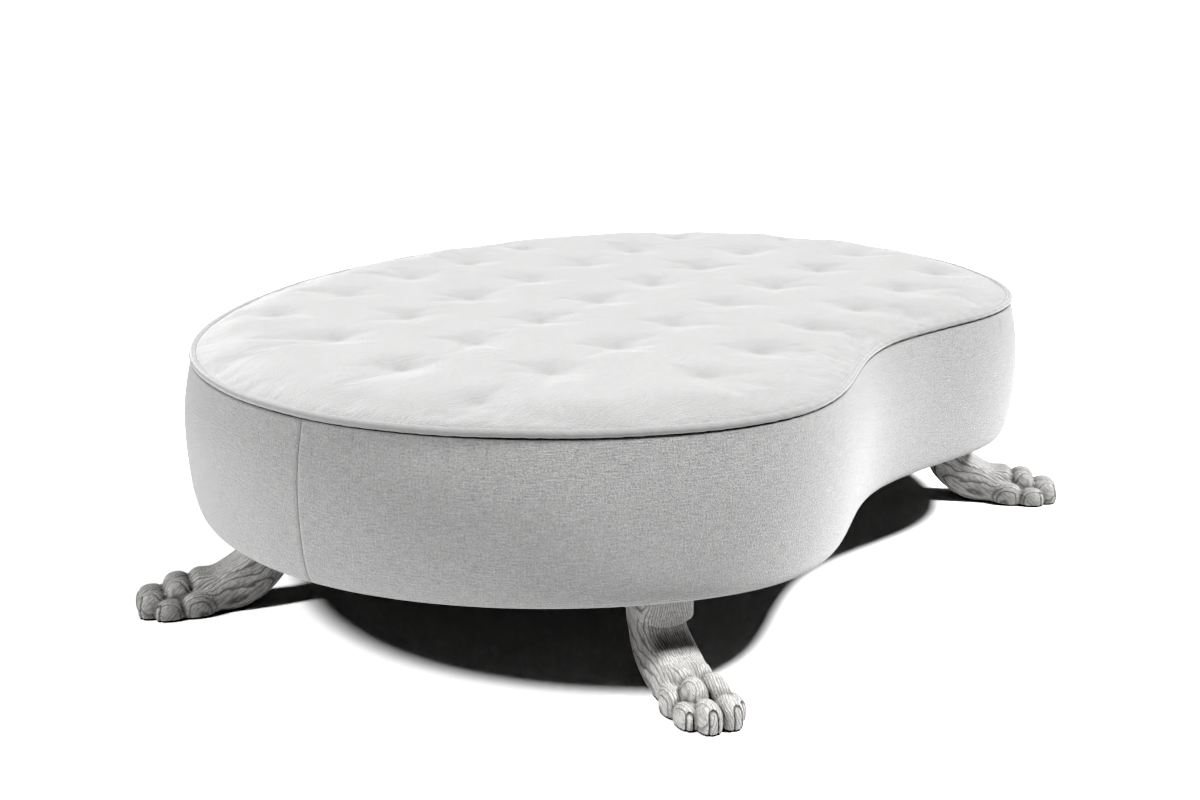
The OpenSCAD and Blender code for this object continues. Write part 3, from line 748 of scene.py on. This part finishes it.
def pawShape(p, detail=False):
    # distance from the paw's skin, less than nothing inside; with detail also how much painted shade the claw
    # lines and the creases between the toes get
    x, y, z = p.T
    leg = section(x, y, *(np.interp(z, levelZ, column) for column in levelFine), paw["legRound"])
    bottom, back, front, half = paw["block"]
    underneath = bottom + paw["blockSlope"] * (front - x) + paw["blockArch"] * (y / half) ** 2
    block = np.maximum(section(x, y, back, front, half, half, paw["blockRound"]), underneath - z)
    whole = softMin(leg, block, paw["blockJoin"])
    toes = None
    crease = np.full(len(p), 1.0)
    for side in (-1, 1):
        for centre, radii in paw["bumps"]:
            d = bumpDistance(p, centre, radii, side)
            if toes is None:
                toes = d
            else:
                crease = np.minimum(crease, np.abs(toes - d) + np.maximum(0, np.minimum(toes, d)) * 2)
                toes = softMin(toes, d, paw["toeJoin"])
    whole = softMin(whole, toes, paw["legJoin"])
    line = np.zeros(len(p))
    for k, wide, high, depth in paw["claws"]:
        centre, radii = paw["bumps"][k]
        forward = x - centre[0]
        for side in (-1, 1):
            across = y - side * centre[1] * (1.0 + 0.15 * forward / 0.02)
            arch = np.sqrt(across ** 2 + np.maximum(0, z - (high - wide * 1.6)) ** 2 * 0.55)
            ring = hill(arch - wide, paw["clawLine"]) * np.clip((forward - 0.1 * radii[0]) / 0.005, 0, 1)
            ring = ring * (np.abs(across) < wide * 2.2)
            line = np.maximum(line, ring)
            whole = whole + ring * depth
    whole = np.maximum(np.maximum(whole, paw["pad"] - z), z - paw["height"])
    if detail:
        # painted shade in the creases between the toe bumps
        fold = hill(crease, paw["foldLine"]) * (toes < 0.004)
        return whole, np.clip(line + paw["foldShade"] * fold, 0, 1)
    return whole


def feltShape(p):
    outline = pawShape(np.column_stack([p[:, 0], p[:, 1], np.full(len(p), felt["level"])]))
    return np.maximum(np.maximum(outline + felt["inset"], p[:, 2] - paw["pad"]), -p[:, 2])


def skinOf(shape, low, high, step):
    # a net of quads round every grid edge that the shape's skin crosses, pulled on to the skin
    axes = [np.arange(a, b + step, step) for a, b in zip(low, high)]
    samples = np.stack(np.meshgrid(*axes, indexing="ij"), -1)
    values = shape(samples.reshape(-1, 3)).reshape(samples.shape[:3])
    inner = values < 0
    cells = [len(a) - 1 for a in axes]

    def corner(data, c):
        return data[c[0]:c[0] + cells[0], c[1]:c[1] + cells[1], c[2]:c[2] + cells[2]]

    corners = [(i, j, k) for i in (0, 1) for j in (0, 1) for k in (0, 1)]
    filled = sum(corner(inner, c).astype(int) for c in corners)
    mixed = (filled > 0) & (filled < 8)
    index = -np.ones(cells, int)
    index[mixed] = np.arange(mixed.sum())
    total, hits = np.zeros((mixed.sum(), 3)), np.zeros(mixed.sum())
    for a in corners:
        for axis in range(3):
            if a[axis]:
                continue
            b = tuple(1 if d == axis else a[d] for d in range(3))
            va, vb = corner(values, a)[mixed], corner(values, b)[mixed]
            cross = (va < 0) != (vb < 0)
            t = np.where(cross, va / np.where(cross, va - vb, 1), 0)
            total += cross[:, None] * (np.array(a) + t[:, None] * (np.array(b) - np.array(a)))
            hits += cross
    points = (total / hits[:, None] + np.argwhere(mixed)) * step + np.array(low)
    faces = []
    for axis in range(3):
        u, v = (axis + 1) % 3, (axis + 2) % 3
        here = [slice(0, cells[d]) if d == axis else slice(1, cells[d]) for d in range(3)]
        there = [slice(1, cells[d] + 1) if d == axis else slice(1, cells[d]) for d in range(3)]
        first, second = inner[tuple(here)], inner[tuple(there)]
        places = np.argwhere(first != second) + [0 if d == axis else 1 for d in range(3)]
        quad = []
        for du, dv in ((0, 0), (1, 0), (1, 1), (0, 1)):
            q = places.copy()
            q[:, u] -= du
            q[:, v] -= dv
            quad.append(index[tuple(q.T)])
        quad = np.stack(quad, 1)
        outward = first[first != second]
        quad[~outward] = quad[~outward][:, ::-1]
        faces.append(quad)
    tiny = 1e-4
    for _ in range(2):
        value = shape(points)
        slope = np.stack([shape(points + np.eye(3)[d] * tiny) - value for d in range(3)], 1) / tiny
        pull = np.clip(value, -step, step) / np.maximum(0.3, (slope ** 2).sum(1))
        points = points - pull[:, None] * slope
    return points, np.concatenate(faces)


def makePaws():
    points, faces = skinOf(pawShape, paw["low"], paw["high"], paw["step"])
    # painted shade for the claw lines and toe creases
    carved = pawShape(points, True)[1]
    padPoints, padFaces = skinOf(feltShape, felt["low"], felt["high"], felt["step"])
    for corner, (x, y, turn) in paw["places"].items():
        foot = newPiece("paw_" + corner, points, faces, "carved_oak")
        setShade(foot, "carved", carved)
        pad = newPiece("pad_" + corner, padPoints, padFaces, "felt", smooth=False)
        for piece, node in ((foot, "foot_" + corner), (pad, "felt_" + corner)):
            piece.location = (x, y, 0)
            piece.rotation_euler = (0, 0, math.radians(turn))
            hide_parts(node)
    print("paw points", len(points))


makePaws()
print("paws made")


# ---- dust cover and its staples
dust = {
    "inset": 0.014, "ringPoints": 260, "step": 0.03, "margin": 0.016, "height": 0.0006, "thickness": 0.0003,
    "sag": 0.0006, "edgeWave": 0.0005, "edgeWaves": 60,
    "stapleInset": 0.021, "staplePitch": 0.036, "stapleLength": 0.0105, "wire": 0.0007, "stapleDrop": 0.0002,
}


def makeDustCover():
    _, ring, out = evenRing(dust["ringPoints"])
    ring = ring - out * dust["inset"]
    xs, ys = np.arange(-0.76, 0.76, dust["step"]), np.arange(-0.6, 0.6, dust["step"])
    inner = np.array([(x, y) for x in xs for y in ys])
    inner = inner[insideRing(inner, ring)]
    inner = inner[gapTo(inner, ring)[0] > dust["margin"]]
    flat, faces = triangleSheet(ring, inner)
    gap = gapTo(flat, ring)[0]
    x, y = flat.T
    sag = dust["sag"] * np.sin(x * 21 + 1) * np.sin(y * 17) * np.clip(gap / 0.1, 0, 1)
    sag += dust["edgeWave"] * np.exp(-gap / 0.02) * np.sin(np.arctan2(y, x) * dust["edgeWaves"])
    points = np.column_stack([flat, body["underside"] + dust["height"] + sag])
    piece = newPiece("dust_cover_cloth", points, [f[::-1] for f in faces], "dust_cloth", flat)
    piece.modifiers.new("thick", "SOLIDIFY").thickness = dust["thickness"]
    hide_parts("dust_cover")


def makeStaples():
    points, faces = [], []
    for s in np.arange(0, girth, dust["staplePitch"]):
        (centre,), (out,) = planRun(np.array([s]))
        centre = centre - out * dust["stapleInset"]
        along = np.array([-out[1], out[0]])
        first = len(points)
        for e in (-1, 1):
            for a, b in ((-1, -1), (1, -1), (1, 1), (-1, 1)):
                q = centre + along * e * dust["stapleLength"] / 2 + out * a * dust["wire"] / 2
                points.append((*q, body["underside"] - dust["stapleDrop"] + b * dust["wire"] / 2))
        for face in ((0, 1, 2, 3), (7, 6, 5, 4), (0, 4, 5, 1), (1, 5, 6, 2), (2, 6, 7, 3), (3, 7, 4, 0)):
            faces.append([first + i for i in face])
    newPiece("dust_cover_staples", points, faces, "zinc_steel", smooth=False)


makeDustCover()
makeStaples()
print("dust cover made")


# ---- floor
def makeFloor():
    material, tree, shader = startMaterial("studio_floor", 0.85, Specular_IOR_Level=0.1)
    place = addNode(tree, "ShaderNodeTexCoord").outputs["Object"]
    tones = [(tone, tone, tone) for tone in studioSet["floor"]]
    finishMaterial(tree, shader, tint(tree, noise(tree, place, 3.0, 2.0), *tones))
    mesh = bpy.data.meshes.new("floor")
    far = studioSet["floorReach"]
    mesh.from_pydata([(-far, -far, 0), (far, -far, 0), (far, far, 0), (-far, far, 0)], [], [(0, 1, 2, 3)])
    mesh.materials.append(material)
    floor = bpy.data.objects.new("floor", mesh)
    scene.collection.objects.link(floor)
    floor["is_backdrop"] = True


makeFloor()
sceneBox = [list(corner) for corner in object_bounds()]
for name, box in (("cad", cadBox), ("visual", sceneBox)):
    print("size", name, [round((b - a) * 1000) for a, b in zip(*box)])
